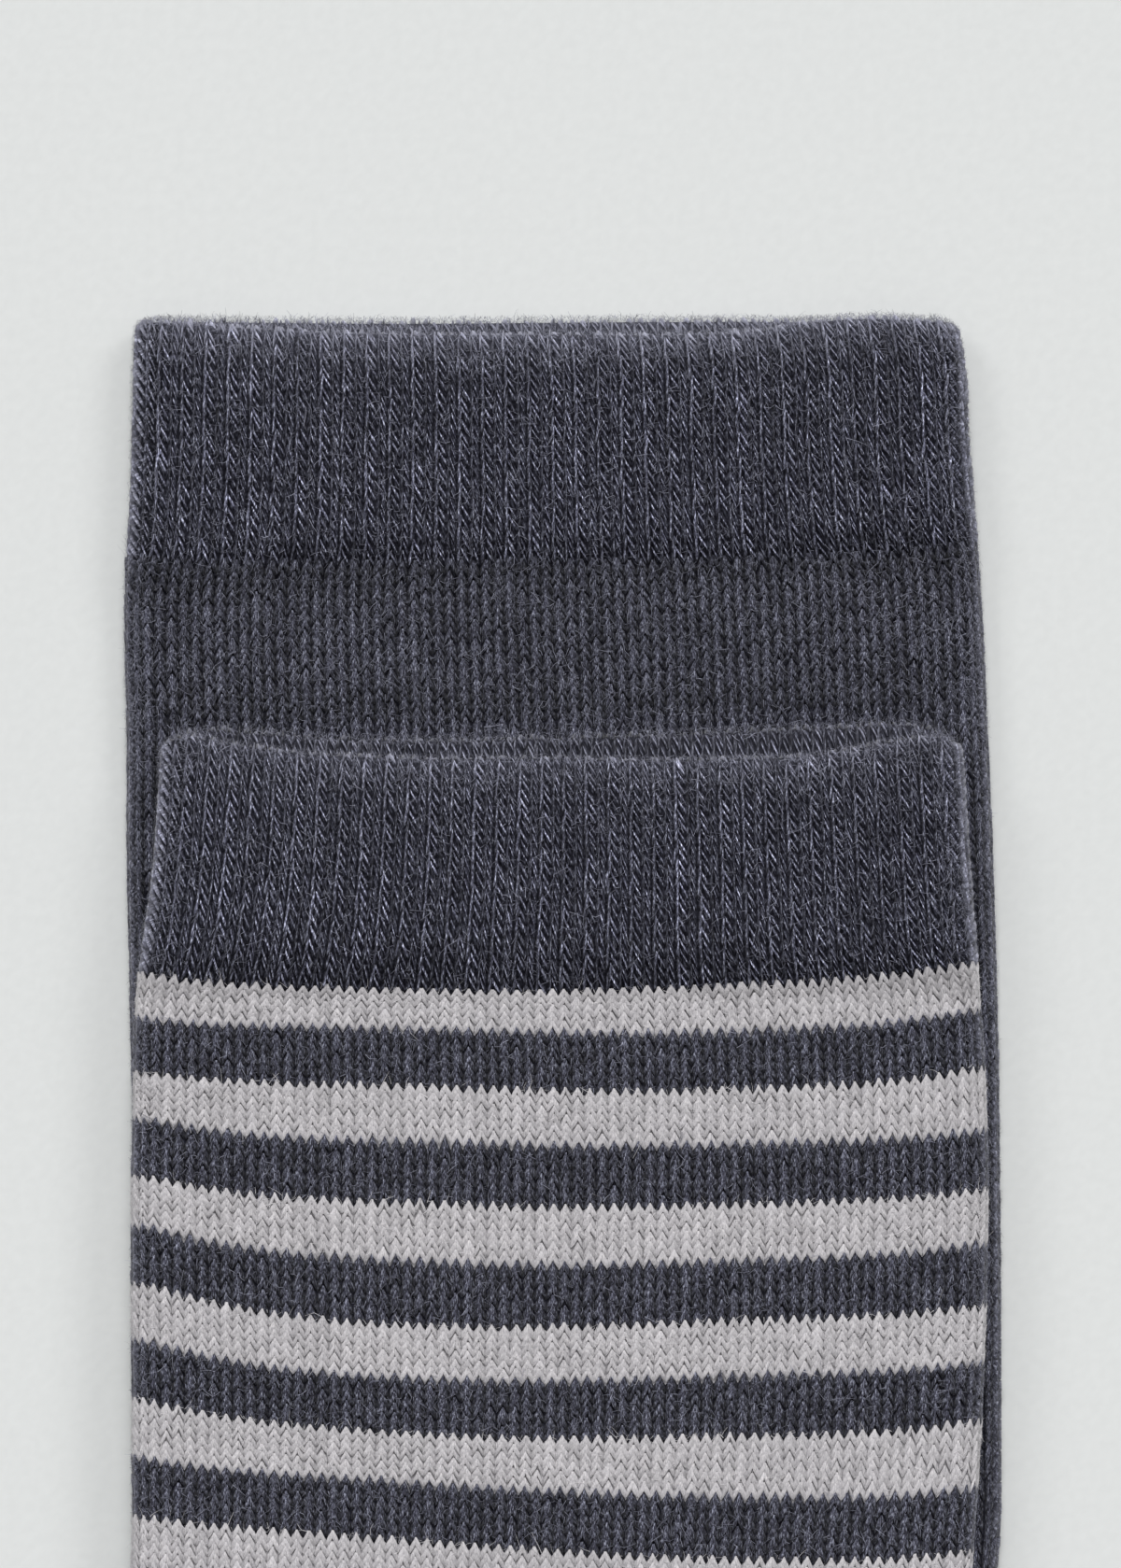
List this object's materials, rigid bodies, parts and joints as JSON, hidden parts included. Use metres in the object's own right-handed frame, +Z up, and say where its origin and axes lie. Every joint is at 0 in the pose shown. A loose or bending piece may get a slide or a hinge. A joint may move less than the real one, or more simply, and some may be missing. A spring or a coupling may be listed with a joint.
{
  "type": "pair of socks",
  "caption": "Pair of knitted crew socks laid flat one on the other: a plain sock below, and a striped sock with a plain double cuff above.",
  "frame": {"origin": "bottom centre of the pair's bounding box, on the surface that it lies on", "axes": "+Y towards the cuffs, +X towards the heels, -X towards the toes, +Z up off the surface"},
  "size_m": [0.238, 0.3618, 0.0091],
  "materials": {
    "plain_knit": "soft heathered jersey knit",
    "striped_knit": "soft heathered jersey knit with light stripes on dark"
  },
  "bodies": {
    "root": {"plain_sock": "plain_knit", "striped_sock": "striped_knit"}
  },
  "joints": []
}
